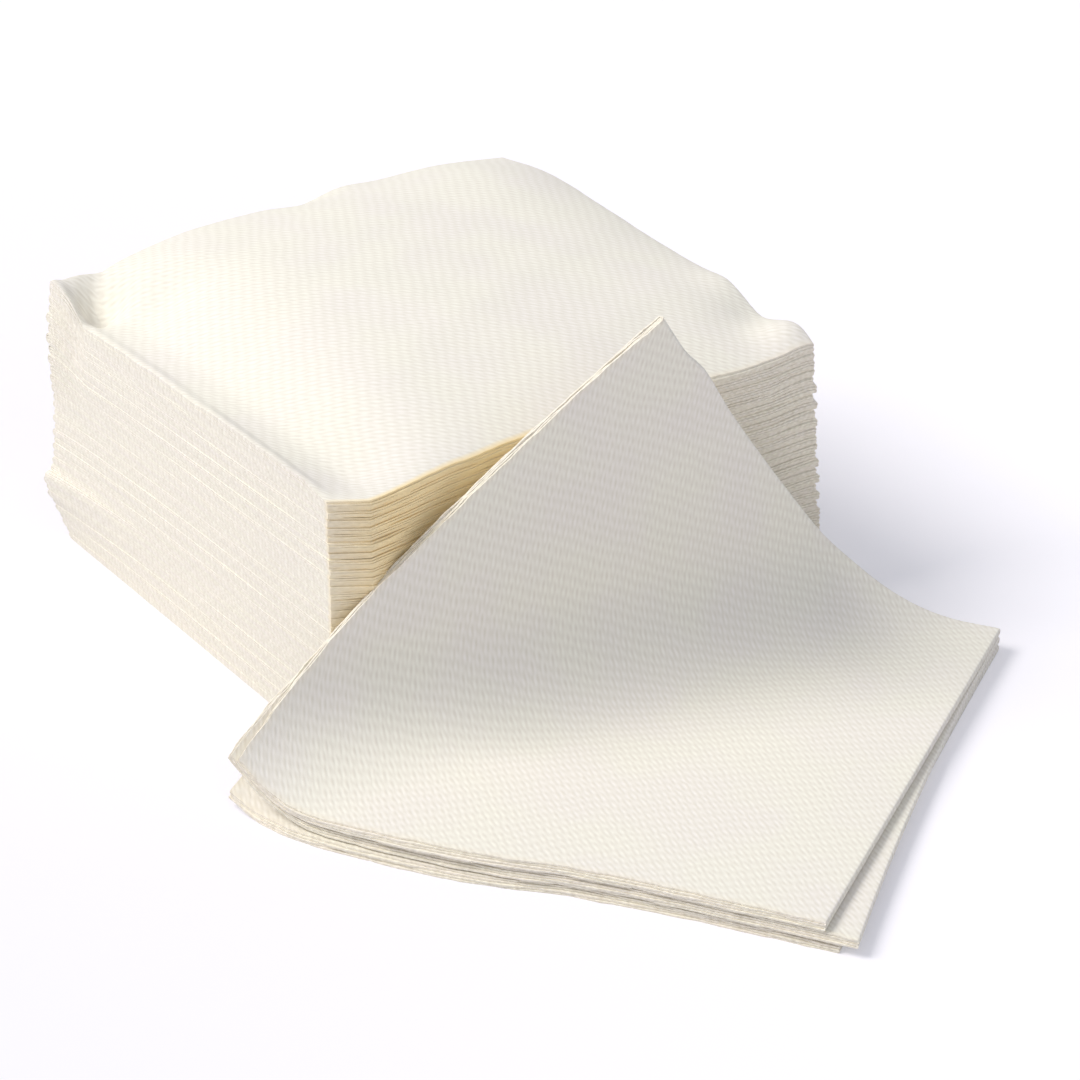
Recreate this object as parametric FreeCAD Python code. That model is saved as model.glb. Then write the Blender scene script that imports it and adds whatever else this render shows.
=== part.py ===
import FreeCAD, Part
import math
import os

# A stack of folded paper napkins, with three more napkins bent up against its front.
# Millimetres, +Z up. The origin is the centre of the stack's base, on the table.
# Each napkin is one square sheet folded in half twice: one solid with four plies.
# Fold A joins the plies in two pairs. Fold B, on the next side, wraps one pair over the
# other. The corner opposite both folds is open and shows four edges.

# The sheet
SHEET_SIDE = 250.0      # a cocktail napkin opened flat
PLY = 0.36              # thickness of the soft linen-feel paper
PLY_GAP = 0.08          # air between plies that are pressed together
NAPKIN_GAP = 0.12       # air between napkins that are pressed together

# The stack
NAPKIN_COUNT = 32       # with the top napkin
# Place of the top surface's high middle, from the centre of the stack
CROWN_X = -20.0
CROWN_Y = 8.0
# How far the top of the stack stands above the same napkins pressed flat
CROWN_RISE = 12.4
FRONT_LEFT_RISE = 1.5
FRONT_RISE = 3.5
FRONT_RIGHT_RISE = 4.6
RIGHT_RISE = 13.9
BACK_RIGHT_RISE = 15.8  # both folds meet here, so this corner is the thickest
BACK_RISE = 14.7
BACK_LEFT_RISE = 0.0
LEFT_RISE = 0.7
# How far the corners of the lower napkins slide out past the top ones
BACK_LEFT_SLIDE = 6.5
FRONT_RIGHT_SLIDE = 3.0
# Share of that slide at each share of the stack's height: most at a third of the way up,
# where the pile has slipped, and none at the table and on top
SLIDE_PROFILE = ((0.0, 0.0), (0.28, 1.0), (0.36, 0.55), (0.85, 0.3), (1.0, 0.0))
# Unevenness of the edges: how far, and its turn from napkin to napkin and from knot to knot
EDGE_WOBBLE = 0.5
WOBBLE_TURN = 2.4
KNOT_TURN = 1.7

# The top napkin
PUFF = 5.0              # how far its middle swells above the napkin under it
FULLNESS = 4            # power of the swell's profile: the higher, the flatter its middle
CORNER_FLARE = 6.5      # how far its back left corner curls up
FLARE_SPREAD = 16.0     # size of the curled corner

# The napkins that lean on the front
LEANING = ("leaning_napkin_bottom", "leaning_napkin_middle", "leaning_napkin_top")
LEANING_GAP = 0.4       # air between them, looser than in the stack
NEAR_CORNER_X = -23.3   # the corner that points away from the stack
NEAR_CORNER_REACH = 109.3
TURN = 32.0             # angle of the fold A side from the stack's front, degrees
HEADING = 87.0          # direction in which they climb, degrees
BEND_RADIUS = 24.0      # of the upper face, where they leave the table
BEND_ANGLE = 84.0
CURL_RADIUS = 190.0     # of the part above the bend
FACE_CLEARANCE = 1.2    # to the stack's front, abreast of the near corner
# How far fold A of each one sticks out at the near corner
SKEWS = (1.0, 4.0, 0.0)

# Sizes worked out from these
SIDE = SHEET_SIDE / 2
HALF = SIDE / 2
PAIR = 2 * PLY + PLY_GAP
THICKNESS = 2 * PAIR + PLY_GAP
PITCH = THICKNESS + NAPKIN_GAP
PRESSED = NAPKIN_COUNT * PITCH
FOLD_A_RADIUS = PAIR / 2
FOLD_B_RADIUS = THICKNESS / 2
PILE = len(LEANING) * (THICKNESS + LEANING_GAP) - LEANING_GAP
NEUTRAL = PILE - THICKNESS / 2      # the height whose length the bend keeps
BEND = math.radians(BEND_ANGLE)
ARC_RADIUS = BEND_RADIUS + THICKNESS / 2
ARC_LENGTH = ARC_RADIUS * BEND


def heading_vector(degrees):
    """Level unit vector at an angle from the stack's front."""
    angle = math.radians(degrees)
    return FreeCAD.Vector(math.cos(angle), math.sin(angle), 0)


ACROSS = heading_vector(TURN)       # along fold A, from the near corner
ALONG = heading_vector(TURN + 90)   # away from fold A
CLIMB = heading_vector(HEADING)
NEAR_CORNER = FreeCAD.Vector(NEAR_CORNER_X, -HALF - NEAR_CORNER_REACH, 0)
# The underside of the pile reaches furthest where it stands upright
UPRIGHT_REACH = (BEND_RADIUS + PILE) * math.sin(BEND)
UPRIGHT_REACH += (CURL_RADIUS + PILE) * (1 - math.sin(BEND))
BEND_START = NEAR_CORNER_REACH - FACE_CLEARANCE - UPRIGHT_REACH
CURL_LENGTH = SIDE * (ACROSS + ALONG).dot(CLIMB) - BEND_START - ARC_LENGTH


class Cut:
    """Where the surfaces of a napkin are divided into flat facets."""

    def __init__(self, shares, outer_steps, inner_steps, wrap_steps):
        self.shares = shares
        self.outer_steps = outer_steps
        self.inner_steps = inner_steps
        self.wrap_steps = wrap_steps


STACK_CUT = Cut((0.0, 1.0), outer_steps=3, inner_steps=1, wrap_steps=3)
TOP_CUT = Cut((0.0, 0.4, 0.75, 1.0), outer_steps=4, inner_steps=2, wrap_steps=4)
LEANING_CUT = Cut((0.0, 0.25, 0.5, 0.75, 1.0), outer_steps=4, inner_steps=2, wrap_steps=4)
BEND_FACETS = 7         # flat strips round the bend
CURL_FACETS = 2         # and above it
NARROWEST_FACET = 1.0
FLATNESS = 1e-7         # of a panel that is kept as one face
NO_AREA = 1e-12         # of a panel whose corners are in one line


def half_turn(radius, steps):
    """Offsets of the points inside a half circle that opens towards plus."""
    angles = [math.pi * i / steps for i in range(1, steps)]
    return [(-radius * math.sin(a), -radius * math.cos(a)) for a in angles]


def pair_outline(knots, cut):
    """Closed outline (u, h) of two plies joined by fold A."""
    run = [FOLD_A_RADIUS] + knots[1:]
    middle = PAIR / 2
    outer = half_turn(FOLD_A_RADIUS, cut.outer_steps)
    inner = half_turn(PLY_GAP / 2, cut.inner_steps)
    outline = [(u, 0.0) for u in reversed(run)]
    outline += [(FOLD_A_RADIUS + du, middle + dh) for du, dh in outer]
    outline += [(u, PAIR) for u in run]
    outline += [(u, PAIR - PLY) for u in reversed(run)]
    outline += [(FOLD_A_RADIUS + du, middle - dh) for du, dh in inner]
    outline += [(u, PLY) for u in run]
    return outline


def wrap_path(knots, cut):
    """Stations (v, angle) of the pair's way along the bottom, round fold B and back on top."""
    run = [FOLD_B_RADIUS] + knots[1:]
    wrap = [math.pi * i / cut.wrap_steps for i in range(1, cut.wrap_steps)]
    path = [(v, 0.0) for v in reversed(run)]
    path += [(FOLD_B_RADIUS, angle) for angle in wrap]
    path += [(v, math.pi) for v in run]
    return path


def folded_point(station, corner):
    """Flat place (u, v, w) of one corner of the outline at one station of the path."""
    v, angle = station
    u, height = corner
    radius = FOLD_B_RADIUS - height
    return (u, v - radius * math.sin(angle), FOLD_B_RADIUS - radius * math.cos(angle))


def polygon(points):
    """Flat face through points given in order."""
    return Part.Face(Part.makePolygon(points + points[:1]))


def is_flat(points):
    """True where four points lie in one plane."""
    a, b, c, d = points
    normal = (b - a).cross(d - a)
    if normal.Length < NO_AREA:
        return False
    return abs((c - a).dot(normal.normalize())) < FLATNESS


def panel(flats, points, rises):
    """Faces of a four-sided panel: one where it is flat, or else two triangles.

    The triangles meet on the diagonal that the napkins above and below use too, so that
    facets of neighbours stay parallel.
    """
    if is_flat(points):
        return [polygon(points)]
    du = flats[2][0] - flats[0][0]
    dv = flats[2][1] - flats[0][1]
    middle_u = sum(flat[0] for flat in flats) / 4
    middle_v = sum(flat[1] for flat in flats) / 4
    if (du * dv >= 0) == rises(middle_u, middle_v):
        return [polygon(points[:3]), polygon([points[2], points[3], points[0]])]
    return [polygon(points[1:]), polygon([points[3], points[0], points[1]])]


def end_faces(flats, points, runs, cut, rises):
    """Faces that close the cut edge of both plies at one end of the path."""
    count = len(points)
    faces = []
    for j in range(runs):
        lower = [j, j + 1, count - 2 - j, count - 1 - j]
        first = runs + cut.outer_steps + j
        last = 3 * runs + cut.outer_steps - j
        upper = [first, first + 1, last, last + 1]
        for ring in (lower, upper):
            faces += panel([flats[i] for i in ring], [points[i] for i in ring], rises)
    nose = list(range(runs, runs + cut.outer_steps + 1))
    back = 3 * runs + cut.outer_steps + 1
    nose += list(range(back, back + cut.inner_steps + 1))
    faces.append(polygon([points[i] for i in nose]))
    return faces


def folded_napkin(place, u_knots, v_knots, cut, rises):
    """One napkin as one solid.

    place gives the point of the napkin for a flat place (u, v, w): u from fold A, v from
    fold B and w up from the underside. u_knots gives the knots in u at a given v, and rises
    says which diagonal divides a panel.
    """
    flats = []
    for station in wrap_path(v_knots, cut):
        outline = pair_outline(u_knots(station[0]), cut)
        flats.append([folded_point(station, corner) for corner in outline])
    points = [[place(*flat) for flat in row] for row in flats]
    count = len(flats[0])
    faces = []
    for i in range(len(flats) - 1):
        for j in range(count):
            k = (j + 1) % count
            ring = ((i, j), (i, k), (i + 1, k), (i + 1, j))
            faces += panel([flats[a][b] for a, b in ring], [points[a][b] for a, b in ring], rises)
    runs = len(u_knots(SIDE)) - 1
    for flat_row, point_row in ((flats[0], points[0]), (flats[-1], points[-1])):
        faces += end_faces(flat_row, point_row, runs, cut, rises)
    shell = Part.makeShell(faces)
    shell.sewShape()
    solid = Part.makeSolid(shell)
    if solid.Volume < 0:
        solid.reverse()
    return solid


def slide_share(level):
    """Share of the full slide at a level between 0, the table, and 1, the top."""
    for (low, start), (high, end) in zip(SLIDE_PROFILE, SLIDE_PROFILE[1:]):
        if level <= high:
            return start + (end - start) * (level - low) / (high - low)
    return SLIDE_PROFILE[-1][1]


def stack_knots(index):
    """Plan place and stack height of the nine knots of the napkin at one level.

    The eight outer knots slide only along their own line from the crown, so each facet
    stays in the plane that it shares with the napkins above and below.
    """
    rises = {
        (-1, -1): FRONT_LEFT_RISE,
        (0, -1): FRONT_RISE,
        (1, -1): FRONT_RIGHT_RISE,
        (1, 0): RIGHT_RISE,
        (1, 1): BACK_RIGHT_RISE,
        (0, 1): BACK_RISE,
        (-1, 1): BACK_LEFT_RISE,
        (-1, 0): LEFT_RISE,
    }
    share = slide_share((index + 0.5) / NAPKIN_COUNT)
    slides = {(-1, 1): BACK_LEFT_SLIDE * share, (1, -1): FRONT_RIGHT_SLIDE * share}
    crown = FreeCAD.Vector(CROWN_X, CROWN_Y, PRESSED + CROWN_RISE)
    knots = {(0, 0): crown}
    for number, (side, rise) in enumerate(rises.items()):
        x = side[0] * HALF if side[0] else CROWN_X
        y = side[1] * HALF if side[1] else CROWN_Y
        arm = FreeCAD.Vector(x, y, PRESSED + rise) - crown
        wobble = EDGE_WOBBLE * math.sin(WOBBLE_TURN * index + KNOT_TURN * number)
        # The front is what the leaning napkins rest on, so nothing passes it there
        slide = -abs(wobble) if side[1] < 0 else wobble
        slide += slides.get(side, 0.0)
        knots[side] = crown + arm * (1 + slide / math.hypot(arm.x, arm.y))
    return knots


def stack_place(index, swell):
    """Placing function of the napkin at one level of the stack."""
    knots = stack_knots(index)

    def place(u, v, w):
        x, y = HALF - u - CROWN_X, HALF - v - CROWN_Y
        side_x, side_y = int(math.copysign(1, x)), int(math.copysign(1, y))
        share_x = abs(x) / (HALF - side_x * CROWN_X)
        share_y = abs(y) / (HALF - side_y * CROWN_Y)
        middle = (side_x, 0) if share_x >= share_y else (0, side_y)
        far, near = max(share_x, share_y), min(share_x, share_y)
        point = knots[(0, 0)] * (1 - far) + knots[middle] * (far - near)
        point += knots[(side_x, side_y)] * near
        height = point.z * (index + w / PITCH) / NAPKIN_COUNT
        return FreeCAD.Vector(point.x, point.y, height + swell(HALF - u, HALF - v))

    return place


def no_swell(x, y):
    """The napkins inside the stack lie close on each other."""
    return 0.0


def top_swell(x, y):
    """Height of the top napkin above a close fit: a soft middle and one curled corner."""
    middle = PUFF * (1 - (x / HALF) ** FULLNESS) * (1 - (y / HALF) ** FULLNESS)
    from_corner = math.hypot(x + HALF, y - HALF)
    return middle + CORNER_FLARE * math.exp(-((from_corner / FLARE_SPREAD) ** 2))


def crown_knots(cut, crown):
    """Knots across the folded side, in the same shares on both sides of the crown."""
    centre = HALF - crown
    before = [centre * (1 - share) for share in reversed(cut.shares)]
    after = [centre + (SIDE - centre) * share for share in cut.shares[1:]]
    return before + after


def crown_diagonal(u, v):
    """True where a panel's diagonal points at the crown with u and v rising together."""
    return (HALF - u - CROWN_X) * (HALF - v - CROWN_Y) > 0


def stack_napkin(index, cut, swell):
    """The napkin at one level of the stack, counted from 0 at the table."""
    across = crown_knots(cut, CROWN_X)
    along = crown_knots(cut, CROWN_Y)
    place = stack_place(index, swell)
    return folded_napkin(place, lambda v: across, along, cut, crown_diagonal)


class LeaningNapkin:
    """One of the leaning napkins: its level from the table and how far it is turned.

    It lies flat, climbs round an arc and goes on in a slow curl. All of them bend along
    the same lines, and a lower one goes round a longer arc, so it ends lower.
    """

    def __init__(self, level, skew):
        self.base = level * (THICKNESS + LEANING_GAP)
        self.skew = skew
        self.extra_radius = (len(LEANING) - 1 - level) * (THICKNESS + LEANING_GAP)

    def shift(self, v):
        """How far fold A stands out past the top one's at a distance v from fold B."""
        return self.skew * v / SIDE

    def width(self, v):
        """What is left of the folded side once the longer arc has taken its share."""
        run = (SIDE - v) * ACROSS.dot(CLIMB) + SIDE * ALONG.dot(CLIMB) - BEND_START
        angle = min(max(run, 0.0), ARC_LENGTH) / ARC_RADIUS
        return SIDE - self.extra_radius * angle / ALONG.dot(CLIMB)

    def knots(self, v):
        """Knots from fold A: on the lines of the bend, as far as the napkin reaches them."""
        runs = [ARC_LENGTH * i / BEND_FACETS for i in range(BEND_FACETS + 1)]
        runs += [ARC_LENGTH + CURL_LENGTH * i / CURL_FACETS for i in range(1, CURL_FACETS)]
        width = self.width(v)
        knots = [0.0]
        for number, run in enumerate(runs, start=1):
            line = BEND_START + run - (SIDE - v) * ACROSS.dot(CLIMB)
            knot = line / ALONG.dot(CLIMB) + self.shift(v)
            last = width - (len(runs) + 1 - number) * NARROWEST_FACET
            knots.append(max(number * NARROWEST_FACET, min(knot, last)))
        return knots + [width]

    def place(self, u, v, w):
        """Point of the napkin for a flat place (u, v, w)."""
        flat = ACROSS * (SIDE - v) + ALONG * (u - self.shift(v))
        run = flat.dot(CLIMB) - BEND_START
        height = self.base + w
        if run <= 0:
            return NEAR_CORNER + flat + FreeCAD.Vector(0, 0, height)
        angle = min(run, ARC_LENGTH) / ARC_RADIUS
        forward = ARC_RADIUS * math.sin(angle)
        up = ARC_RADIUS * (1 - math.cos(angle))
        if run > ARC_LENGTH:
            angle += (run - ARC_LENGTH) / CURL_RADIUS
            forward += CURL_RADIUS * (math.sin(angle) - math.sin(BEND))
            up += CURL_RADIUS * (math.cos(BEND) - math.cos(angle))
        forward -= (height - NEUTRAL) * math.sin(angle)
        up += (height - NEUTRAL) * math.cos(angle)
        rest = flat - CLIMB * (run - forward)
        return NEAR_CORNER + rest + FreeCAD.Vector(0, 0, NEUTRAL + up)

    def solid(self):
        """The napkin as one solid."""
        v_knots = [SIDE * share for share in LEANING_CUT.shares]
        return folded_napkin(self.place, self.knots, v_knots, LEANING_CUT, lambda u, v: True)


def build():
    """All napkins by the names of their nodes."""
    nodes = {}
    for index in range(NAPKIN_COUNT - 1):
        nodes["napkin_%02d" % (index + 1)] = stack_napkin(index, STACK_CUT, no_swell)
    nodes["top_napkin"] = stack_napkin(NAPKIN_COUNT - 1, TOP_CUT, top_swell)
    for level, (name, skew) in enumerate(zip(LEANING, SKEWS)):
        nodes[name] = LeaningNapkin(level, skew).solid()
    return nodes


os.makedirs("parts", exist_ok=True)
for node, solid in build().items():
    solid.exportStep("parts/%s.step" % node)
    print(node, solid.isValid(), len(solid.Faces), round(solid.Volume, 1))
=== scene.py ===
"""A stack of soft folded paper napkins, with three more bent up against its front.

Every napkin is one square sheet of tissue folded in half twice. Its mesh is laid out flat as
that sheet, folded, and then placed in the stack or over the bend. Lengths in the classes
are millimetres; the meshes, the lights and the camera are in metres.
"""

from __future__ import annotations

import logging
import math
from dataclasses import dataclass, replace
from enum import Enum
from typing import Callable, Sequence

import bpy
import numpy as np
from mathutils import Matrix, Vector


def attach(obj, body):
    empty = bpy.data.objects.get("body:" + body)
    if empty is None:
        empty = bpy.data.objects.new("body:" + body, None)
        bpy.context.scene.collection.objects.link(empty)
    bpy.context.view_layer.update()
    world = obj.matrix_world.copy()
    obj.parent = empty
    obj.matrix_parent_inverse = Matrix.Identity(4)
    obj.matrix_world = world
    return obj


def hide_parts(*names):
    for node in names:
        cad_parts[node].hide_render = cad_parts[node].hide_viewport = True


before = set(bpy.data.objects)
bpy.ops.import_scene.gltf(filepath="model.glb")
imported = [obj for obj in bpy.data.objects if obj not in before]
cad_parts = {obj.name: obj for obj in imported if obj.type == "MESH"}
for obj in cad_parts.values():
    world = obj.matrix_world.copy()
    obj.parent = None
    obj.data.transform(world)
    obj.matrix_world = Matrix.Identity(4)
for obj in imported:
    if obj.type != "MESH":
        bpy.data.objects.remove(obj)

LOG = logging.getLogger("napkins")
MM = 0.001
BODY = "root"

Array = np.ndarray


def linear(hex_colour: str) -> tuple[float, float, float, float]:
    """Turns an sRGB colour into the linear one that the shaders take.

    Args:
        hex_colour: The colour as six hex digits, with or without a leading #.

    Returns:
        Linear red, green and blue, and an alpha of 1.
    """
    digits = hex_colour.lstrip("#")
    levels = [int(digits[i : i + 2], 16) / 255 for i in (0, 2, 4)]
    turned = [c / 12.92 if c <= 0.04045 else ((c + 0.055) / 1.055) ** 2.4 for c in levels]
    return (turned[0], turned[1], turned[2], 1.0)


def smooth_step(low: float, high: float, value: Array) -> Array:
    """Rises smoothly from 0 at low to 1 at high."""
    share = np.clip((value - low) / (high - low), 0.0, 1.0)
    return share * share * (3 - 2 * share)


def soft_line(points: Sequence[tuple[float, float]], value: Array) -> Array:
    """Follows points with a smooth curve that doesn't overshoot them.

    Args:
        points: Pairs of place and height, with rising places.
        value: The places to read the curve at.

    Returns:
        The height at each place.
    """
    at = np.array([p[0] for p in points], float)
    high = np.array([p[1] for p in points], float)
    steps = np.diff(high) / np.diff(at)
    slopes = np.zeros(len(at))
    same = steps[:-1] * steps[1:] > 0
    mean = 2 * steps[:-1] * steps[1:] / np.where(same, steps[:-1] + steps[1:], 1.0)
    slopes[1:-1] = np.where(same, mean, 0.0)
    slopes[0], slopes[-1] = steps[0], steps[-1]
    value = np.clip(value, at[0], at[-1])
    index = np.clip(np.searchsorted(at, value, side="right") - 1, 0, len(at) - 2)
    width = at[index + 1] - at[index]
    t = (value - at[index]) / width
    hold = (1 + 2 * t) * (1 - t) ** 2 * high[index] + t * t * (3 - 2 * t) * high[index + 1]
    turn = t * (1 - t) ** 2 * slopes[index] - t * t * (1 - t) * slopes[index + 1]
    return hold + turn * width


def ripple(place: Array, seed: int, wavelength: float) -> Array:
    """Gives an uneven wave of about unit height along a line.

    Args:
        place: Places along the line, in millimetres.
        seed: Number of the wave, so that each edge has its own.
        wavelength: Typical length of the waves, in millimetres.

    Returns:
        The wave at each place.
    """
    draw = np.random.default_rng(seed)
    total = np.zeros_like(place, dtype=float)
    for stretch in (0.55, 1.0, 1.7):
        phase = draw.uniform(0, 2 * math.pi)
        total += stretch**0.5 * np.sin(2 * math.pi * place / (wavelength * stretch) + phase)
    return total / 3


@dataclass(frozen=True)
class Lump:
    """A soft rise or dip in a surface: where it is, how high and how wide."""

    x: float
    y: float
    height: float
    spread: float

    def rise(self, x: Array, y: Array) -> Array:
        """Gives its height at each place."""
        return self.height * np.exp(-((x - self.x) ** 2 + (y - self.y) ** 2) / self.spread**2)


@dataclass(frozen=True)
class Tissue:
    """The napkin paper as cut and folded: a square sheet folded in half twice."""

    side: float = 125.0
    ply: float = 0.36
    ply_gap: float = 0.08
    napkin_gap: float = 0.12

    @property
    def pair(self) -> float:
        """Thickness of two plies."""
        return 2 * self.ply + self.ply_gap

    @property
    def thickness(self) -> float:
        """Thickness of the folded napkin."""
        return 2 * self.pair + self.ply_gap

    @property
    def pitch(self) -> float:
        """Height that one napkin takes in a pressed stack."""
        return self.thickness + self.napkin_gap


@dataclass
class FoldedSheet:
    """The folded sheet as points: where each lies in the flat folded napkin.

    u runs from fold A and v from fold B. w is the height of the middle of the ply, and off_u,
    off_v and off_w lead from there to the ply's face. s and t are places on the unfolded
    sheet, and level is the ply's number from below, from 0 to 3.
    """

    u: Array
    v: Array
    w: Array
    off_u: Array
    off_v: Array
    off_w: Array
    s: Array
    t: Array
    level: Array
    faces: list[tuple[int, ...]]

    def printed(self, number: int, crosswise: bool = False) -> FoldedSheet:
        """Gives the same folded sheet cut from its own place on the roll.

        Args:
            number: Number of the napkin.
            crosswise: Whether its other side is up, with the roll's length across it.

        Returns:
            The folded sheet, with other places in the roll's pattern.
        """
        first, second = (self.t, self.s) if crosswise else (self.s, self.t)
        return replace(self, s=first + 250.7 * number, t=second + 251.9 * number)


def fold_sheet(paper: Tissue, u_knots: Array, v_knots: Array, turn_steps: int = 4) -> FoldedSheet:
    """Folds the sheet in half twice, as one closed skin round all four plies.

    Args:
        paper: The sheet.
        u_knots: Places from fold A where the skin has points, the first at the fold.
        v_knots: The same from fold B.
        turn_steps: Number of facets round each fold.

    Returns:
        The folded sheet.
    """
    radius_a, radius_b = paper.pair / 2, paper.thickness / 2
    inner = (paper.pair - paper.ply) / 2
    half = paper.ply / 2
    run = np.concatenate([[radius_a], u_knots[1:]])
    turn = [math.pi * i / turn_steps for i in range(1, turn_steps)]
    outline: list[tuple[float, float, float, float, float]] = []
    for side in (1, -1):
        low = [(u, half, 0.0, -half * side, u) for u in run[::-1]]
        bend = []
        for angle in turn:
            sine, cosine = math.sin(angle), math.cos(angle)
            middle = (radius_a - inner * sine, radius_a - inner * cosine)
            off = (-half * sine * side, -half * cosine * side)
            bend.append((*middle, *off, inner * (math.pi / 2 - angle)))
        high = [(u, paper.pair - half, 0.0, half * side, -u) for u in run]
        ring = low + bend + high
        outline += ring if side == 1 else ring[::-1]
    path = [(v, 0.0) for v in np.concatenate([[radius_b], v_knots[1:]])[::-1]]
    path += [(radius_b, math.pi * i / turn_steps) for i in range(1, turn_steps)]
    path += [(v, math.pi) for v in np.concatenate([[radius_b], v_knots[1:]])]

    corner = np.array(outline)
    station = np.array(path)
    count, stations = len(corner), len(station)
    v0, angle = station[:, :1], station[:, 1:]
    height, du, dh = corner[None, :, 1], corner[None, :, 2], corner[None, :, 3]
    reach = radius_b - height
    u = np.repeat(corner[None, :, 0], stations, 0)
    v = v0 - reach * np.sin(angle)
    w = radius_b - reach * np.cos(angle)
    sheet_t = np.where(angle < math.pi / 2, v0, -v0) * np.ones_like(u)
    level = np.clip(np.round((w - half) / (paper.ply + paper.ply_gap)), 0, 3)

    faces: list[tuple[int, ...]] = []
    for i in range(stations - 1):
        for j in range(count):
            k = (j + 1) % count
            faces.append((i * count + j, i * count + k, (i + 1) * count + k, (i + 1) * count + j))
    # The cut ends of the two plies, and of the fold between them
    half_count = count // 2
    for base, flip in ((0, True), ((stations - 1) * count, False)):
        for j in range(half_count - 1):
            ring = (base + j, base + j + 1, base + count - 2 - j, base + count - 1 - j)
            faces.append(ring[::-1] if flip else ring)
    return FoldedSheet(
        u=u.ravel(),
        v=v.ravel(),
        w=w.ravel(),
        off_u=np.repeat(du, stations, 0).ravel(),
        off_v=(dh * np.sin(angle)).ravel(),
        off_w=(dh * np.cos(angle)).ravel(),
        s=np.repeat(corner[None, :, 4], stations, 0).ravel(),
        t=sheet_t.ravel(),
        level=level.ravel(),
        faces=faces,
    )


def edge_knots(side: float, count: int, extra: Sequence[float] = ()) -> Array:
    """Spreads points over the folded side, closer together near both its ends.

    Args:
        side: Length of the folded side.
        count: Number of even steps.
        extra: More places that need a point of their own.

    Returns:
        The places, from 0 to side.
    """
    even = np.linspace(0, side, count + 1)
    close = [1.0, 2.2, side - 3.0, side - 1.4, side - 0.5]
    both = np.unique(np.round(np.concatenate([even, close, extra]), 4))
    keep = [both[0]]
    for place in both[1:]:
        if place - keep[-1] > 0.45 or place in extra:
            keep.append(place)
    keep[-1] = side
    return np.array(keep)


def build_mesh(name: str, points: Array, sheet: FoldedSheet, edge_tone_and_glow: Array) -> bpy.types.Object:
    """Makes a smooth-shaded object of a placed sheet.

    Args:
        name: Name of the piece.
        points: Place of every point, in millimetres.
        sheet: The folded sheet that the points belong to.
        edge_tone_and_glow: Share of the warm cut-edge tint, own tone and painted glow, from 0 to
            1.

    Returns:
        The object, linked to the scene.
    """
    mesh = bpy.data.meshes.new(name)
    mesh.from_pydata((points * MM).tolist(), [], sheet.faces)
    mesh.update()
    flat = mesh.attributes.new("sheet_mm", "FLOAT_VECTOR", "POINT")
    places = np.stack([sheet.s, sheet.t, sheet.w], 1).astype(np.float32)
    flat.data.foreach_set("vector", places.ravel())
    near = mesh.attributes.new("edge_tone_and_glow", "FLOAT", "POINT")
    near.data.foreach_set("value", edge_tone_and_glow.astype(np.float32))
    mesh.polygons.foreach_set("use_smooth", np.ones(len(mesh.polygons), bool))
    mesh.set_sharp_from_angle(angle=math.radians(50))
    piece = bpy.data.objects.new(name, mesh)
    bpy.context.scene.collection.objects.link(piece)
    return piece


def add_node(
    tree: bpy.types.NodeTree,
    kind: str,
    settings: dict[str, object] | None = None,
    inputs: dict[str | int, object] | None = None,
) -> bpy.types.Node:
    """Adds one node to a material or world.

    Args:
        tree: The node tree.
        kind: Blender's name of the node's type.
        settings: The node's own properties.
        inputs: Values for its inputs by name or number, or sockets to link to them.

    Returns:
        The node.
    """
    node = tree.nodes.new(kind)
    for key, value in (settings or {}).items():
        setattr(node, key, value)
    for key, value in (inputs or {}).items():
        if isinstance(value, bpy.types.NodeSocket):
            tree.links.new(value, node.inputs[key])
        else:
            node.inputs[key].default_value = value
    return node


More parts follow.
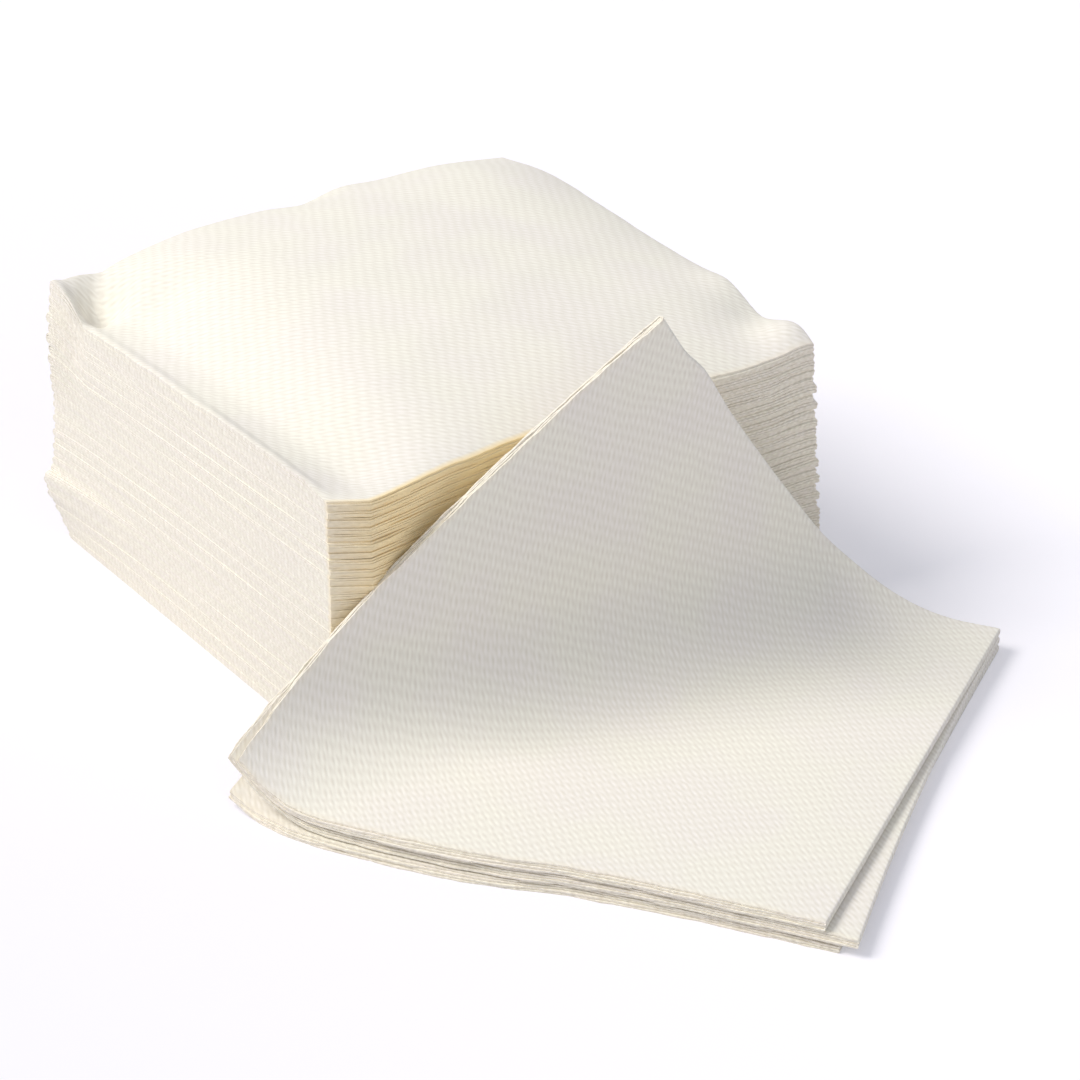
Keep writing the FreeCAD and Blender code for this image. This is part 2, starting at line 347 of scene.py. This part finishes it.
@dataclass(frozen=True)
class EmbossedTissue:
    """Airlaid tissue, pressed between engraved rollers for a linen feel.

    To the eye it is matt and soft. Rows of fine slanting strokes cross the sheet, with a
    fine fibre grain and faint cloudy patches where the pulp lies thicker.
    """

    paper: str = "#FBF8EC"
    cloud: str = "#FAF5EE"
    # Painted shade: the colour that the troughs of the pressed strokes are darkened to, standing
    # in for the shade of the relief
    hollow_shade: str = "#E6E0D3"
    # Cut edges: their own warmer tone, and painted golden glow of bounced light along the front
    cut_edge_and_glow: str = "#FFE9B8"
    roughness: float = 0.92
    # The ridges that make the strokes and, last, the rows: how far apart they stand in
    # millimetres, how they slant in degrees, and each one's share in the relief
    ridges: tuple[tuple[float, float, float], ...] = (
        (0.975, 43.0, 0.31),
        (1.515, 31.5, 0.24),
        (1.255, 61.5, 0.24),
        (2.49, -62.2, 0.21),
    )
    unevenness: float = 2.3
    depth: float = 0.04
    # The pulp's fibres are 0.02 mm thick, drawn here as a grain of 0.3 mm so that it shows
    grain: float = 0.3
    cloud_size: float = 22.0

    def relief(
        self, tree: bpy.types.NodeTree, place: bpy.types.NodeSocket
    ) -> tuple[bpy.types.NodeSocket, bpy.types.NodeSocket]:
        """Adds the pressed pattern.

        Args:
            tree: The material's nodes.
            place: Places on the flat sheet, in millimetres.

        Returns:
            The strokes alone, and the whole relief with its grain.
        """
        pressed: bpy.types.NodeSocket | float = 0.0
        for pitch, slant, share in self.ridges:
            turned = add_node(
                tree,
                "ShaderNodeMapping",
                {"vector_type": "POINT"},
                {"Vector": place, "Rotation": (0.0, 0.0, math.radians(slant))},
            )
            # A wave texture repeats every 2 pi / 20 of its scaled coordinate
            ridge = add_node(
                tree,
                "ShaderNodeTexWave",
                {"wave_type": "BANDS", "bands_direction": "X"},
                {
                    "Vector": turned.outputs[0],
                    "Scale": 2 * math.pi / 20 / pitch,
                    "Distortion": self.unevenness,
                    "Detail": 1.0,
                    "Detail Scale": 1.2,
                },
            )
            pressed = add_node(
                tree,
                "ShaderNodeMath",
                {"operation": "MULTIPLY_ADD"},
                {0: ridge.outputs["Fac"], 1: share, 2: pressed},
            ).outputs[0]
        grain = add_node(
            tree,
            "ShaderNodeTexNoise",
            inputs={"Vector": place, "Scale": 1 / self.grain, "Detail": 2.0},
        )
        whole = add_node(
            tree,
            "ShaderNodeMath",
            {"operation": "MULTIPLY_ADD"},
            {0: grain.outputs["Fac"], 1: 0.5, 2: pressed},
        )
        return pressed, whole.outputs[0]

    def colour(
        self,
        tree: bpy.types.NodeTree,
        place: bpy.types.NodeSocket,
        pressed: bpy.types.NodeSocket,
    ) -> bpy.types.NodeSocket:
        """Adds the colour: cloudy paper, painted shade in the pattern, cut edges warm in tone and
        painted glow.

        Args:
            tree: The material's nodes.
            place: Places on the flat sheet, in millimetres.
            pressed: The height of the strokes.

        Returns:
            The colour.
        """
        clouds = add_node(
            tree,
            "ShaderNodeTexNoise",
            inputs={"Vector": place, "Scale": 1 / self.cloud_size, "Detail": 2.0},
        )
        patches = add_node(
            tree,
            "ShaderNodeMapRange",
            inputs={"Value": clouds.outputs["Fac"], "From Min": 0.4, "From Max": 0.62},
        )
        body = add_node(
            tree,
            "ShaderNodeMix",
            {"data_type": "RGBA"},
            {
                "Factor": patches.outputs["Result"],
                6: linear(self.paper),
                7: linear(self.cloud),
            },
        )
        # Painted shade: the lower the strokes, the more of the darker colour, so their troughs
        # look shaded
        shade = add_node(
            tree,
            "ShaderNodeMapRange",
            inputs={"Value": pressed, "From Max": 0.9, "To Min": 0.9, "To Max": 0.0},
        )
        toned = add_node(
            tree,
            "ShaderNodeMix",
            {"data_type": "RGBA"},
            {"Factor": shade.outputs["Result"], 6: body.outputs[2], 7: linear(self.hollow_shade)},
        )
        # Warm tint at cut edges, partly their own tone and partly painted glow of bounced light
        edge_tone_and_glow = add_node(tree, "ShaderNodeAttribute", {"attribute_name": "edge_tone_and_glow"})
        edged = add_node(
            tree,
            "ShaderNodeMix",
            {"data_type": "RGBA"},
            {"Factor": edge_tone_and_glow.outputs["Fac"], 6: toned.outputs[2], 7: linear(self.cut_edge_and_glow)},
        )
        return edged.outputs[2]

    def material(self) -> bpy.types.Material:
        """Builds the paper's material.

        Returns:
            The material.
        """
        made = bpy.data.materials.new("embossed_tissue")
        made.use_nodes = True
        tree = made.node_tree
        tree.nodes.clear()
        sheet = add_node(tree, "ShaderNodeAttribute", {"attribute_name": "sheet_mm"})
        place = sheet.outputs["Vector"]
        pressed, whole = self.relief(tree, place)
        bump = add_node(
            tree,
            "ShaderNodeBump",
            inputs={"Strength": 1.0, "Distance": self.depth * MM, "Height": whole},
        )
        shader = add_node(
            tree,
            "ShaderNodeBsdfPrincipled",
            inputs={
                "Base Color": self.colour(tree, place, pressed),
                "Roughness": self.roughness,
                "Specular IOR Level": 0.2,
                "Normal": bump.outputs["Normal"],
            },
        )
        add_node(tree, "ShaderNodeOutputMaterial", inputs={"Surface": shader.outputs[0]})
        return made


@dataclass(frozen=True)
class StudioFloor:
    """Matt white paper sweep: it takes the soft shadow and reads as white to the camera."""

    colour: str = "#E7E5EB"
    lift: float = 0.235

    def material(self) -> bpy.types.Material:
        """Builds the floor's material.

        Returns:
            The material.
        """
        made = bpy.data.materials.new("white_sweep")
        made.use_nodes = True
        tree = made.node_tree
        tree.nodes.clear()
        matt = add_node(
            tree, "ShaderNodeBsdfDiffuse", inputs={"Color": linear(self.colour), "Roughness": 1.0}
        )
        ray = add_node(tree, "ShaderNodeLightPath")
        seen = add_node(
            tree,
            "ShaderNodeMath",
            {"operation": "MULTIPLY"},
            {0: ray.outputs["Is Camera Ray"], 1: self.lift},
        )
        glow = add_node(
            tree,
            "ShaderNodeEmission",
            inputs={"Color": (1.0, 1.0, 1.0, 1.0), "Strength": seen.outputs[0]},
        )
        both = add_node(
            tree, "ShaderNodeAddShader", inputs={0: matt.outputs[0], 1: glow.outputs[0]}
        )
        add_node(tree, "ShaderNodeOutputMaterial", inputs={"Surface": both.outputs[0]})
        return made


@dataclass
class NapkinStack:
    """The square stack: thirty-two napkins pressed on each other, softer towards the top.

    x runs along the front from its middle, y away from it, and each of the four edge
    profiles gives the height of the top napkin along one side.
    """

    paper: Tissue
    count: int = 32
    front: tuple[tuple[float, float], ...] = (
        (-62.5, 59.1),
        (-33.6, 59.8),
        (-14.0, 60.2),
        (34.0, 60.8),
        (62.5, 62.2),
    )
    left: tuple[tuple[float, float], ...] = ((-62.5, 59.1), (47.0, 58.9), (62.5, 58.0))
    back: tuple[tuple[float, float], ...] = (
        (-62.5, 58.0),
        (-54.0, 62.6),
        (-48.0, 66.4),
        (-38.0, 69.2),
        (-25.0, 71.2),
        (-8.0, 72.0),
        (20.0, 73.0),
        (42.0, 73.8),
        (62.5, 72.4),
    )
    right: tuple[tuple[float, float], ...] = (
        (-62.5, 62.2),
        (-48.0, 65.4),
        (-30.0, 67.8),
        (-5.0, 69.8),
        (20.0, 72.4),
        (42.0, 74.0),
        (62.5, 72.4),
    )
    crown: float = 3.2
    # The valley along the left edge, inside the lip of the top napkin
    valley: float = 3.6
    valley_place: float = 11.5
    valley_width: float = 7.0
    valley_fade: float = 12.0
    lumps: tuple[Lump, ...] = (
        Lump(-55.0, 51.0, -6.0, 6.0),
        Lump(-47.0, 37.0, -1.4, 6.0),
        Lump(55.0, -46.0, -1.2, 8.0),
        Lump(48.0, 40.0, 0.6, 14.0),
        Lump(-38.0, 44.0, 1.0, 9.0),
    )
    # Small dents and swellings right at the folded back and right edges
    edge_lumps: tuple[Lump, ...] = (
        Lump(3.0, 62.5, -1.3, 6.0),
        Lump(16.0, 62.5, 0.8, 6.0),
        Lump(62.5, -43.0, -2.2, 6.0),
        Lump(62.5, -30.0, 1.1, 6.0),
        Lump(60.0, -57.0, 3.0, 6.0),
    )
    # Plan outline of the front: how far it stands back (+) or out (-) at each x
    front_drift: tuple[tuple[float, float], ...] = (
        (-62.5, 0.0),
        (-55.0, -4.1),
        (-33.6, -0.6),
        (-14.0, 1.6),
        (34.0, 3.2),
        (62.5, 1.0),
    )
    drift_depth: float = 34.0
    # How far the back left corner slides out at each level, from the table to the top
    left_slide: tuple[tuple[float, float], ...] = (
        (0.0, 0.0),
        (0.07, 1.6),
        (0.14, 3.1),
        (0.21, 4.9),
        (0.28, 5.6),
        (0.33, 3.4),
        (0.42, 2.6),
        (0.63, 1.6),
        (0.8, 1.9),
        (1.0, 0.0),
    )
    right_slide: float = 3.0
    right_slide_level: float = 0.28
    # The back left corner turns up: two places on its crease, how high its tip stands, and
    # the level above which the napkins follow it
    crease_from: tuple[float, float] = (-62.5, 46.0)
    crease_to: tuple[float, float] = (-49.5, 62.5)
    tip_rise: float = 6.8
    follows_from: float = 0.6
    # Unevenness from napkin to napkin: the left side was knocked flush, the front wasn't
    left_groove: float = 0.05
    front_groove: float = 0.28
    left_fluff: float = 0.24
    front_fluff: float = 0.1
    left_wobble: float = 0.09
    front_wobble: float = 0.5

    @property
    def half(self) -> float:
        """Half of the folded side."""
        return self.paper.side / 2

    def top_height(self, x: Array, y: Array) -> Array:
        """Gives the height of the stack's top from its four edge profiles and its crown."""
        half = self.half
        a, b = (x + half) / (2 * half), (y + half) / (2 * half)
        front, back = soft_line(self.front, x), soft_line(self.back, x)
        left, right = soft_line(self.left, y), soft_line(self.right, y)
        corners = (1 - a) * (1 - b) * self.front[0][1] + a * (1 - b) * self.front[-1][1]
        corners += (1 - a) * b * self.back[0][1] + a * b * self.back[-1][1]
        sides = (1 - b) * front + b * back + (1 - a) * left + a * right
        height = sides - corners + self.crown * self.dome(x, y) ** 0.8
        inside = x + half
        width = np.where(inside < self.valley_place, self.valley_width, self.valley_fade)
        valley = np.exp(-(((inside - self.valley_place) / width) ** 2))
        valley *= smooth_step(-half - 4, -half + 14, y) * (1 - smooth_step(38, 54, y))
        height -= self.valley * valley * smooth_step(0, 4, inside)
        at_edge = smooth_step(0, 5, inside) * smooth_step(0, 5, half - x)
        at_edge *= smooth_step(0, 5, half + y) * smooth_step(0, 5, half - y)
        height += at_edge * sum(lump.rise(x, y) for lump in self.lumps)
        return height + sum(lump.rise(x, y) for lump in self.edge_lumps)

    def dome(self, x: Array, y: Array) -> Array:
        """Gives the shape of a swelling: 0 at the edges, 1 in the middle, slow at the left."""
        across = np.clip(1 - (x / self.half) ** 2, 0, 1)
        across = np.where(x < 0, across**1.2, across)
        return across * np.clip(1 - (y / self.half) ** 2, 0, 1)

    def turned_up(self, x: Array, y: Array) -> Array:
        """Gives the rise of the back left corner beyond its crease."""
        (x0, y0), (x1, y1) = self.crease_from, self.crease_to
        length = math.hypot(x1 - x0, y1 - y0)
        beyond = ((y - y0) * (x1 - x0) - (x - x0) * (y1 - y0)) / length
        tip = ((self.half - y0) * (x1 - x0) - (-self.half - x0) * (y1 - y0)) / length
        return self.tip_rise * (1 - (1 - np.clip(beyond / tip, 0, 1)) ** 2)

    def right_share(self, level: Array) -> Array:
        """Share of the right slide at a level between 0, the table, and 1, the top."""
        below = level / self.right_slide_level
        above = (1 - level) / (1 - self.right_slide_level)
        return np.clip(np.minimum(below, above), 0, 1)

    def plan(self, x: Array, y: Array, level: Array, index: int) -> tuple[Array, Array]:
        """Moves places sideways as the real napkins lie: slid, uneven and bowed.

        Args:
            x: Places along the front.
            y: Places away from the front.
            level: Level from 0 to 1.
            index: Number of the napkin from below.

        Returns:
            The moved places.
        """
        half = self.half
        to_left = np.clip(-x / half, 0, 1) * np.clip(y / half, 0, 1)
        to_right = np.clip(x / half, 0, 1) * np.clip(-y / half, 0, 1)
        slide = soft_line(self.left_slide, level) * to_left**2
        slide -= self.right_slide * self.right_share(level) * to_right**2
        dx, dy = -slide / math.sqrt(2), slide / math.sqrt(2)
        near_front = np.clip(1 - (y + half) / self.drift_depth, 0, 1) ** 1.5
        bow = np.interp(
            x, [p[0] for p in self.front_drift], [p[1] for p in self.front_drift]
        )
        # Low down the leaning napkins are in the way, so nothing stands out there
        bow = np.where(bow < 0, bow * smooth_step(0.45, 0.68, level), bow * level)
        dy = dy + near_front * bow
        for side, along, grow in (("x", y, x), ("y", x, y)):
            end = np.clip(np.abs(grow) / half, 0, 1) ** 6 * np.sign(grow)
            seed = index * 8 + (4 if side == "x" else 0)
            wave = ripple(along, seed, 70.0) * 0.6 + ripple(along, seed + 1, 18.0) * 0.25
            shift = wave + 0.8 * math.sin(2.4 * index + 1.7 * seed)
            shift *= np.where((x < 0) & (side == "x"), self.left_wobble, self.front_wobble)
            if side == "x":
                dx = dx + end * shift
            else:
                # The front is what the leaning napkins rest on
                dy = dy + np.where(grow < 0, np.abs(end * shift), end * shift)
        return x + dx, y + dy

    def place(self, sheet: FoldedSheet, index: int, extra: Callable[..., Array] | None) -> Array:
        """Places one folded sheet at its level in the stack.

        Args:
            sheet: The folded sheet.
            index: Number of the napkin from below.
            extra: Gives a height above the close fit for x, y and the share of the thickness.

        Returns:
            The points, in millimetres.
        """
        paper, half = self.paper, self.half
        cut_u = smooth_step(paper.side - 5, paper.side, sheet.u)
        cut_v = smooth_step(paper.side - 5, paper.side, sheet.v)
        seed = 1000 + index * 16
        u, v = sheet.u.copy(), sheet.v.copy()
        for ply in range(4):
            here = sheet.level == ply
            outer = ((ply - 1.5) / 1.5) ** 2
            for run, along, cut, k, groove in (
                (u, sheet.v, cut_u, 0, self.left_groove),
                (v, sheet.u, cut_v, 4, self.front_groove),
            ):
                wave = 0.5 * groove * ripple(along, seed + ply + k, 26.0)
                wave += 0.35 * groove * ripple(along, seed + ply + k + 8, 7.0)
                run[here] += (cut * (wave - groove * outer))[here]
        x, y = half - (u + sheet.off_u), half - (v + sheet.off_v)
        middle = paper.thickness / 2
        # Cut edges fluff up and close the gaps
        fluff = np.maximum(self.left_fluff * cut_u, self.front_fluff * cut_v)
        w = middle + (sheet.w - middle) * (1 + 0.3 * fluff)
        flutter = 0.10 * ripple(sheet.u, seed + 12, 21.0) * cut_v
        flutter += 0.04 * ripple(sheet.v, seed + 13, 21.0) * cut_u
        level = (index + (w + flutter) / paper.pitch) / self.count
        height = self.top_height(x, y)
        z = height * level + sheet.off_w * (1 + fluff)
        z += self.turned_up(x, y) * smooth_step(self.follows_from, 1.0, level)
        if extra is not None:
            z = z + extra(x, y, (sheet.w + sheet.off_w) / paper.thickness)
        px, py = self.plan(x, y, level, index)
        lowest = sheet.off_w - sheet.off_w.min() if index == 0 else -1.0
        z = np.maximum(z, 0.0 if index == 0 else lowest)
        return np.stack([px, py, z], 1)

    def edge_tone_and_glow(self, sheet: FoldedSheet) -> Array:
        """Gives each point's share of the warm cut-edge tint and painted glow, from 0 to 1."""
        side = self.paper.side
        left = smooth_step(side - 1.2, side, sheet.u) * 0.05
        front = smooth_step(side - 1.2, side, sheet.v)
        # Painted golden glow of light bounced between the sheets, mid-front behind the leaning
        # napkins
        x = self.half - sheet.u
        front *= 0.15 + 0.85 * smooth_step(-72, -48, x) * (1 - smooth_step(5, 40, x))
        return np.maximum(left, front)

    def build(self, paper_material: bpy.types.Material) -> list[bpy.types.Object]:
        """Builds the napkins under the top one.

        Args:
            paper_material: What they are made of.

        Returns:
            Their objects, from below.
        """
        knots = edge_knots(self.paper.side, 22, extra=(117.5,))
        sheet = fold_sheet(self.paper, knots, knots, turn_steps=4)
        made = []
        for index in range(self.count - 1):
            points = self.place(sheet, index, None)
            name = f"napkin_{index + 1:02d}"
            printed = sheet.printed(index, crosswise=True)
            piece = build_mesh(f"soft_{name}", points, printed, self.edge_tone_and_glow(sheet))
            dress(piece, name, paper_material)
            made.append(piece)
        return made


@dataclass
class TopNapkin:
    """The napkin on top: swollen, with a lip along its left edge and one curled corner."""

    stack: NapkinStack
    puff: float = 2.4
    lip: float = 1.6
    lip_width: float = 2.2

    def extra(self, x: Array, y: Array, share: Array) -> Array:
        """Gives the height above a close fit, for a share of the napkin's thickness."""
        half = self.stack.half
        dome = self.stack.dome(x, y)
        lip = self.lip * np.exp(-(((x + half) / self.lip_width) ** 2))
        lip = lip * smooth_step(-half, -half + 12, y) * (1 + 0.25 * ripple(y, 91, 24.0))
        cockle = 0.22 * ripple(x * 0.9 + y * 0.5, 77, 34.0) + 0.18 * ripple(y - x * 0.4, 78, 27.0)
        rise = self.puff * dome**0.6 + lip + cockle * dome**0.5
        return rise * share

    def build(self, paper_material: bpy.types.Material) -> bpy.types.Object:
        """Builds the top napkin.

        Args:
            paper_material: What it is made of.

        Returns:
            Its object.
        """
        paper = self.stack.paper
        u_knots = edge_knots(paper.side, 66, extra=(117.5,))
        v_knots = edge_knots(paper.side, 66)
        sheet = fold_sheet(paper, u_knots, v_knots, turn_steps=6)
        points = self.stack.place(sheet, self.stack.count - 1, self.extra)
        printed = sheet.printed(self.stack.count, crosswise=True)
        piece = build_mesh("soft_top_napkin", points, printed, self.stack.edge_tone_and_glow(sheet))
        dress(piece, "top_napkin", paper_material)
        return piece


@dataclass(frozen=True)
class Lie:
    """How one of the leaning napkins lies.

    skew turns it, so that fold A stands out at the near corner. At the left corner slip is
    how far its far edge stands out, and delay how much later it starts to climb.
    """

    node: str
    skew: float
    slip: float
    delay: float
    bow: float
    steps: int


class Level(Enum):
    """The leaning napkins from the table up."""

    BOTTOM = Lie("leaning_napkin_bottom", skew=3.0, slip=2.8, delay=15.0, bow=1.15, steps=60)
    MIDDLE = Lie("leaning_napkin_middle", skew=6.5, slip=5.5, delay=2.5, bow=0.9, steps=60)
    TOP = Lie("leaning_napkin_top", skew=0.0, slip=-1.6, delay=3.5, bow=0.95, steps=76)


@dataclass
class LeaningPile:
    """Three napkins that lie flat at the front, climb round a bend and rest on the stack."""

    paper: Tissue
    gap: float = 0.4
    near_corner_x: float = -23.3
    near_corner_reach: float = 109.3
    turn: float = 32.0
    heading: float = 87.0
    bend_radius: float = 24.0
    bend_angle: float = 84.0
    curl_radius: float = 190.0
    face_clearance: float = 1.2
    # How much further the front edge of each ply stands out than the ply on top of it
    stagger: float = 0.25
    # How far the left edge bows out and the right edge draws in, from fold A to the far edge
    left_bow: tuple[tuple[float, float], ...] = (
        (0.0, 0.0),
        (25.0, -0.3),
        (52.0, -1.8),
        (67.0, -4.4),
        (80.0, -5.4),
        (95.0, -5.6),
        (106.0, -5.2),
        (116.0, -3.2),
        (125.0, -0.5),
    )
    right_bow: tuple[tuple[float, float], ...] = (
        (0.0, 0.0),
        (34.0, 0.0),
        (50.0, -0.9),
        (90.0, -1.5),
        (104.0, -1.0),
        (114.0, -2.4),
        (125.0, -2.5),
    )

    def __post_init__(self) -> None:
        """Works out the sizes that depend on these."""
        thick, side = self.paper.thickness, self.paper.side
        self.across = self._level_vector(self.turn)
        self.along = self._level_vector(self.turn + 90)
        self.climb = self._level_vector(self.heading)
        pile = len(Level) * (thick + self.gap) - self.gap
        self.neutral = pile - thick / 2
        self.bend = math.radians(self.bend_angle)
        self.arc_radius = self.bend_radius + thick / 2
        self.arc_length = self.arc_radius * self.bend
        upright = (self.bend_radius + pile) * math.sin(self.bend)
        upright += (self.curl_radius + pile) * (1 - math.sin(self.bend))
        self.bend_start = self.near_corner_reach - self.face_clearance - upright
        self.near_corner = np.array([self.near_corner_x, -side / 2 - self.near_corner_reach, 0.0])

    @staticmethod
    def _level_vector(degrees: float) -> Array:
        """Level unit vector at an angle from the stack's front."""
        angle = math.radians(degrees)
        return np.array([math.cos(angle), math.sin(angle), 0.0])

    def frayed(self, sheet: FoldedSheet, number: int) -> tuple[Array, Array]:
        """Gives u and v with the cut edges of the four plies uneven.

        Args:
            sheet: The folded sheet.
            number: The napkin's number from the table, from 0.

        Returns:
            The places from fold A and from fold B.
        """
        side = self.paper.side
        cut_u = smooth_step(side - 6, side, sheet.u)
        cut_v = smooth_step(side - 6, side, sheet.v)
        u, v = sheet.u.copy(), sheet.v.copy()
        seed = 4000 + number * 40
        for ply in range(4):
            here = sheet.level == ply
            for target, along, cut, k in ((u, sheet.v, cut_u, 0), (v, sheet.u, cut_v, 4)):
                wave = 0.35 * ripple(along, seed + ply + k, 60.0)
                wave += 0.2 * ripple(along, seed + ply + k + 8, 8.0)
                stand_out = self.stagger * (1.5 - ply) if k else 0.0
                target[here] += (cut * (wave + stand_out))[here]
        return u, v

    def place(self, sheet: FoldedSheet, number: int, lie: Lie) -> Array:
        """Places one folded sheet in the pile.

        Args:
            sheet: The folded sheet.
            number: Its number from the table, from 0.
            lie: How it lies.

        Returns:
            The points, in millimetres.
        """
        paper = self.paper
        side = paper.side
        base = number * (paper.thickness + self.gap)
        longer = (len(Level) - 1 - number) * (paper.thickness + self.gap)
        delay = lie.delay * smooth_step(0.5 * side, side, sheet.v)
        run = (side - sheet.v) * self.across.dot(self.climb)
        run += side * self.along.dot(self.climb) - self.bend_start
        share = np.clip(run - delay, 0, self.arc_length) / self.arc_radius
        width = side - longer * share / self.along.dot(self.climb)
        width += lie.slip * smooth_step(0.55 * side, side, sheet.v)
        u, v = self.frayed(sheet, number)
        across = side - (v + sheet.off_v)
        across += lie.bow * soft_line(self.left_bow, sheet.u) * (sheet.v / side) ** 3
        across += soft_line(self.right_bow, sheet.u) * (1 - sheet.v / side) ** 3
        turned = lie.skew * (np.maximum(v, 0) / side) ** 2 * (1 - 0.45 * sheet.u / side)
        along = u * width / side + sheet.off_u - turned
        flat = across[:, None] * self.across + along[:, None] * self.along
        run = flat @ self.climb - self.bend_start - delay
        height = base + sheet.w + sheet.off_w
        angle = np.clip(run, 0, self.arc_length) / self.arc_radius
        forward = self.arc_radius * np.sin(angle)
        up = self.arc_radius * (1 - np.cos(angle))
        curled = run > self.arc_length
        over = np.where(curled, angle + (run - self.arc_length) / self.curl_radius, angle)
        forward = np.where(
            curled,
            forward + self.curl_radius * (np.sin(over) - math.sin(self.bend)),
            forward,
        )
        up = np.where(curled, up + self.curl_radius * (math.cos(self.bend) - np.cos(over)), up)
        lift = height - self.neutral
        forward = forward - lift * np.sin(over)
        up = up + lift * np.cos(over) + self.neutral
        flat_part = run <= 0
        moved = flat - self.climb * (run - forward)[:, None]
        points = self.near_corner + np.where(flat_part[:, None], flat, moved)
        points[:, 2] += np.where(flat_part, height, up)
        return points

    def build(self, paper_material: bpy.types.Material) -> list[bpy.types.Object]:
        """Builds the three napkins.

        Args:
            paper_material: What they are made of.

        Returns:
            Their objects, from the table up.
        """
        made = []
        for number, level in enumerate(Level):
            lie = level.value
            knots = edge_knots(self.paper.side, lie.steps)
            sheet = fold_sheet(self.paper, knots, knots, turn_steps=6)
            points = self.place(sheet, number, lie)
            reach = np.maximum(sheet.u, sheet.v)
            edge_tone_and_glow = smooth_step(self.paper.side - 1.2, self.paper.side, reach) * 0.12
            piece = build_mesh(f"soft_{lie.node}", points, sheet.printed(number), edge_tone_and_glow)
            dress(piece, lie.node, paper_material)
            made.append(piece)
        return made


@dataclass(frozen=True)
class Studio:
    """Soft daylight from the left over a white sweep, and the camera that sees the stack."""

    eye: tuple[float, float, float] = (-0.3031, -0.4847, 0.2924)
    aim: tuple[float, float, float] = (0.0299, -0.0023, 0.0)
    lens: float = 90.8
    light_distance: float = 3.0
    key_from: tuple[float, float, float] = (-0.58, 0.30, 0.757)
    key_size: float = 1.7
    key_watts: float = 69.0
    key_colour: str = "#FFFBF4"
    # A white card beside the camera
    fill_from: tuple[float, float, float] = (-0.25, -0.85, 0.46)
    fill_size: float = 2.5
    fill_watts: float = 7.5
    fill_colour: str = "#FFFBF2"
    sky_colour: str = "#EBF0FC"
    sky_strength: float = 0.52

    def disk(
        self,
        name: str,
        source: tuple[float, float, float],
        size: float,
        watts: float,
        colour: str,
    ) -> None:
        """Hangs a round soft light that faces the stack.

        Args:
            name: Name of the light.
            source: Direction that it comes from.
            size: Its width, in metres.
            watts: Its power.
            colour: Its colour as hex digits.
        """
        light = bpy.data.lights.new(name, "AREA")
        light.shape = "DISK"
        light.size = size
        light.energy = watts
        light.color = linear(colour)[:3]
        hung = bpy.data.objects.new(name, light)
        bpy.context.scene.collection.objects.link(hung)
        hung.location = Vector(source) * self.light_distance
        hung.rotation_euler = (-Vector(source)).to_track_quat("-Z", "Y").to_euler()

    def build(self) -> None:
        """Makes the camera, the lights, the sky and the floor."""
        scene = bpy.context.scene
        lens = bpy.data.cameras.new("camera")
        lens.lens = self.lens
        lens.sensor_width = 36.0
        camera = bpy.data.objects.new("camera", lens)
        scene.collection.objects.link(camera)
        camera.location = self.eye
        toward = Vector(self.aim) - Vector(self.eye)
        camera.rotation_euler = toward.to_track_quat("-Z", "Y").to_euler()
        scene.camera = camera

        self.disk("window", self.key_from, self.key_size, self.key_watts, self.key_colour)
        self.disk("card", self.fill_from, self.fill_size, self.fill_watts, self.fill_colour)

        world = bpy.data.worlds.new("white_room")
        scene.world = world
        world.use_nodes = True
        tree = world.node_tree
        tree.nodes.clear()
        ray = add_node(tree, "ShaderNodeLightPath")
        sky = add_node(
            tree,
            "ShaderNodeBackground",
            inputs={"Color": linear(self.sky_colour), "Strength": self.sky_strength},
        )
        seen = add_node(
            tree, "ShaderNodeBackground", inputs={"Color": (1.0, 1.0, 1.0, 1.0), "Strength": 1.0}
        )
        chosen = add_node(
            tree,
            "ShaderNodeMixShader",
            inputs={0: ray.outputs["Is Camera Ray"], 1: sky.outputs[0], 2: seen.outputs[0]},
        )
        add_node(tree, "ShaderNodeOutputWorld", inputs={"Surface": chosen.outputs[0]})

        mesh = bpy.data.meshes.new("floor")
        reach = 2.5
        corners = [(-reach, -reach, 0), (reach, -reach, 0), (reach, reach, 0), (-reach, reach, 0)]
        mesh.from_pydata(corners, [], [(0, 1, 2, 3)])
        floor = bpy.data.objects.new("floor", mesh)
        scene.collection.objects.link(floor)
        mesh.materials.append(StudioFloor().material())
        scene.view_settings.view_transform = "Standard"


def dress(piece: bpy.types.Object, node: str, paper_material: bpy.types.Material) -> None:
    """Gives a napkin its paper and says which solid it stands for.

    Args:
        piece: The napkin's object.
        node: The solid's name.
        paper_material: What it is made of.
    """
    piece.data.materials.append(paper_material)
    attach(piece, BODY)
    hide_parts(node)
    LOG.info("%s: %d faces, stands for %s", piece.name, len(piece.data.polygons), node)


def main() -> None:
    """Builds the napkins and the studio."""
    logging.basicConfig(level=logging.INFO, format="%(name)s %(message)s")
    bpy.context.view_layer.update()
    paper_material = EmbossedTissue().material()
    paper = Tissue()
    stack = NapkinStack(paper)
    stack.build(paper_material)
    TopNapkin(stack).build(paper_material)
    LeaningPile(paper).build(paper_material)
    Studio().build()
    bpy.context.view_layer.update()


if __name__ == "__main__":
    main()
